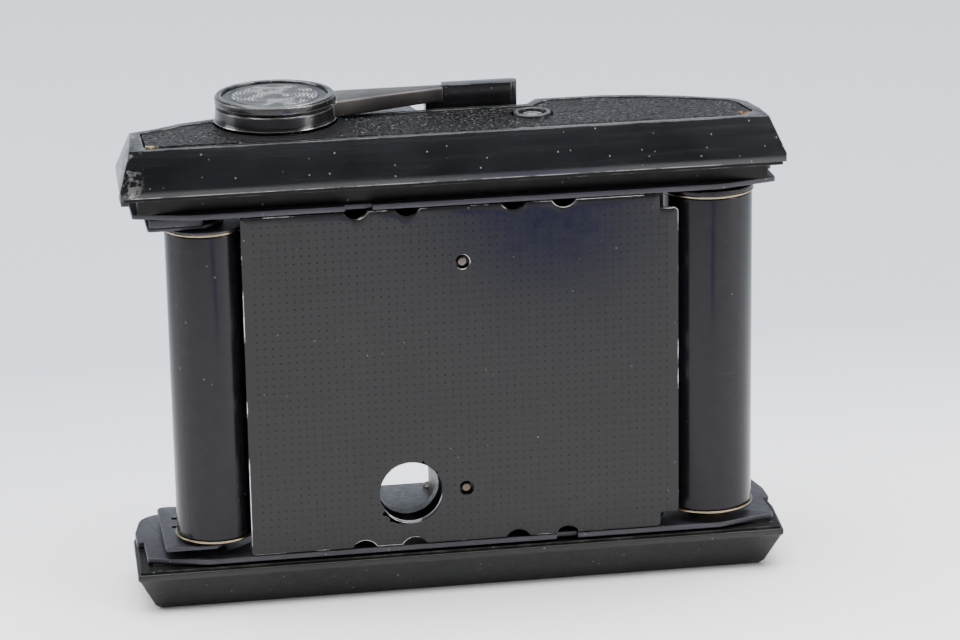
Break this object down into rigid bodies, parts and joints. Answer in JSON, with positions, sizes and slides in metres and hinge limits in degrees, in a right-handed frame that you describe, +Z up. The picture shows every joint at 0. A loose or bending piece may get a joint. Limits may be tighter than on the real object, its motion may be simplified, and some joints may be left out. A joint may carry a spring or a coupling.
{
  "type": "roll film insert",
  "caption": "Film insert for a medium-format roll-film back: two frame plates, film rollers, a dimpled sprung pressure plate, spool bays, a winding lever and a frame counter.",
  "frame": {"origin": "middle of the underside of the lower cover, at the middle of the overall depth", "axes": "+X along the film's run, to the right as seen from the film side; +Y away from the film side; +Z up from the base to the winding lever"},
  "size_m": [0.1284, 0.0369, 0.0971],
  "materials": {
    "cover_gloss": "gloss black stoved paint, worn at the edges",
    "cover_satin": "satin black paint",
    "leather": "fine pebbled black leather",
    "anodised": "black anodised, satin",
    "roller_anodised": "violet-black anodised, finely turned",
    "pressure_plate": "dark grey satin with pressed dimples",
    "brass": "turned brass, a little dull",
    "steel": "turned steel",
    "spring_steel": "bright spring steel",
    "lever_metal": "dark grey, worn to brown metal on its front face",
    "hub": "dark grey satin with bright worn rims",
    "hub_disc": "grey anodised with fine engraved lines",
    "finger_plastic": "gloss black moulded plastic",
    "window_ring": "black enamel, worn rim",
    "window_clear": "clear",
    "dial": "off-white with printed numbers"
  },
  "bodies": {
    "frame": {"top_cover": "cover_gloss", "bottom_cover": "cover_satin", "top_neck": "cover_satin", "bottom_neck": "cover_satin", "backing_plate": "cover_satin", "centre_partition": "cover_satin", "leather_panel": "leather", "top_plate": "anodised", "bottom_plate": "anodised", "left_bracket_lower": "anodised", "left_bracket_upper": "anodised", "right_roller_bush_lower": "brass", "right_roller_bush_upper": "brass", "take_up_bush": "brass", "guide_pin_lower": "steel", "guide_pin_upper": "steel", "left_roller_axle": "steel", "idler_post": "steel", "dial_post": "steel", "take_up_pin_housing": "steel", "supply_pin_housing": "steel", "supply_upper_pin": "steel", "frame_screw_1": "steel", "frame_screw_2": "steel", "frame_screw_3": "steel", "frame_screw_4": "steel", "leaf_spring_lower": "spring_steel", "leaf_spring_upper": "spring_steel", "take_up_pin_spring": "spring_steel", "supply_pin_spring": "spring_steel", "lever_return_spring": "spring_steel", "window_ring": "window_ring", "window_lens": "window_clear"},
    "wind_lever": {"wind_lever": "lever_metal", "finger_piece": "finger_plastic", "hub_cap": "hub", "hub_disc": "hub_disc", "lever_shaft": "steel", "clutch_spring": "spring_steel"},
    "take_up_key": {"take_up_key": "steel"},
    "measuring_roller": {"right_roller": "roller_anodised", "right_roller_washer_lower": "brass", "right_roller_washer_upper": "brass", "right_roller_disc": "roller_anodised", "right_roller_shaft": "steel", "measuring_pinion": "brass"},
    "counter_idler": {"counter_idler": "brass"},
    "counter_dial": {"counter_gear": "brass", "counter_dial": "dial"},
    "guide_roller": {"left_roller": "roller_anodised", "left_roller_washer_lower": "brass", "left_roller_washer_upper": "brass"},
    "pressure_plate": {"pressure_plate": "pressure_plate"},
    "take_up_pin": {"take_up_lower_pin": "steel"},
    "supply_pin": {"supply_lower_pin": "steel"}
  },
  "joints": [
    {"name": "wind_lever_swing", "type": "hinge", "parent": "frame", "child": "wind_lever", "pos_m": [-0.0326, 0.0027, 0.0936], "axis": [0, 0, 1], "range_deg": [0, 165], "stiffness_Nm_per_rad": 0.02, "springref_deg": -22.92, "deforming": ["lever_return_spring"]},
    {"name": "take_up_turn", "type": "hinge", "parent": "frame", "child": "take_up_key", "pos_m": [-0.0326, 0.0027, 0.078], "axis": [0, 0, 1], "range_deg": [0, 165]},
    {"name": "measuring_roller_turn", "type": "hinge", "parent": "frame", "child": "measuring_roller", "pos_m": [0.0497, -0.0087, 0.0446], "axis": [0, 0, 1], "continuous": true},
    {"name": "counter_idler_turn", "type": "hinge", "parent": "frame", "child": "counter_idler", "pos_m": [0.03855, 0.0006, 0.081], "axis": [0, 0, 1], "continuous": true},
    {"name": "counter_dial_turn", "type": "hinge", "parent": "frame", "child": "counter_dial", "pos_m": [0.0243, -0.0022, 0.084], "axis": [0, 0, 1], "continuous": true},
    {"name": "guide_roller_turn", "type": "hinge", "parent": "frame", "child": "guide_roller", "pos_m": [-0.0483, -0.01, 0.0444], "axis": [0, 0, 1], "continuous": true},
    {"name": "pressure_plate_press", "type": "slide", "parent": "frame", "child": "pressure_plate", "axis": [0, 1, 0], "range_m": [0, 0.001], "stiffness_N_per_m": 600, "springref_m": -0.003, "deforming": ["leaf_spring_lower", "leaf_spring_upper"]},
    {"name": "take_up_pin_press", "type": "slide", "parent": "frame", "child": "take_up_pin", "axis": [0, 0, -1], "range_m": [0, 0.004], "stiffness_N_per_m": 300, "springref_m": -0.003, "deforming": ["take_up_pin_spring"]},
    {"name": "supply_pin_press", "type": "slide", "parent": "frame", "child": "supply_pin", "axis": [0, 0, -1], "range_m": [0, 0.004], "stiffness_N_per_m": 300, "springref_m": -0.003, "deforming": ["supply_pin_spring"]}
  ],
  "couplings": [
    {"joint": "take_up_turn", "follows": "wind_lever_swing", "ratio": 1},
    {"joint": "counter_idler_turn", "follows": "measuring_roller_turn", "ratio": -0.33333},
    {"joint": "counter_dial_turn", "follows": "measuring_roller_turn", "ratio": 0.11111}
  ]
}
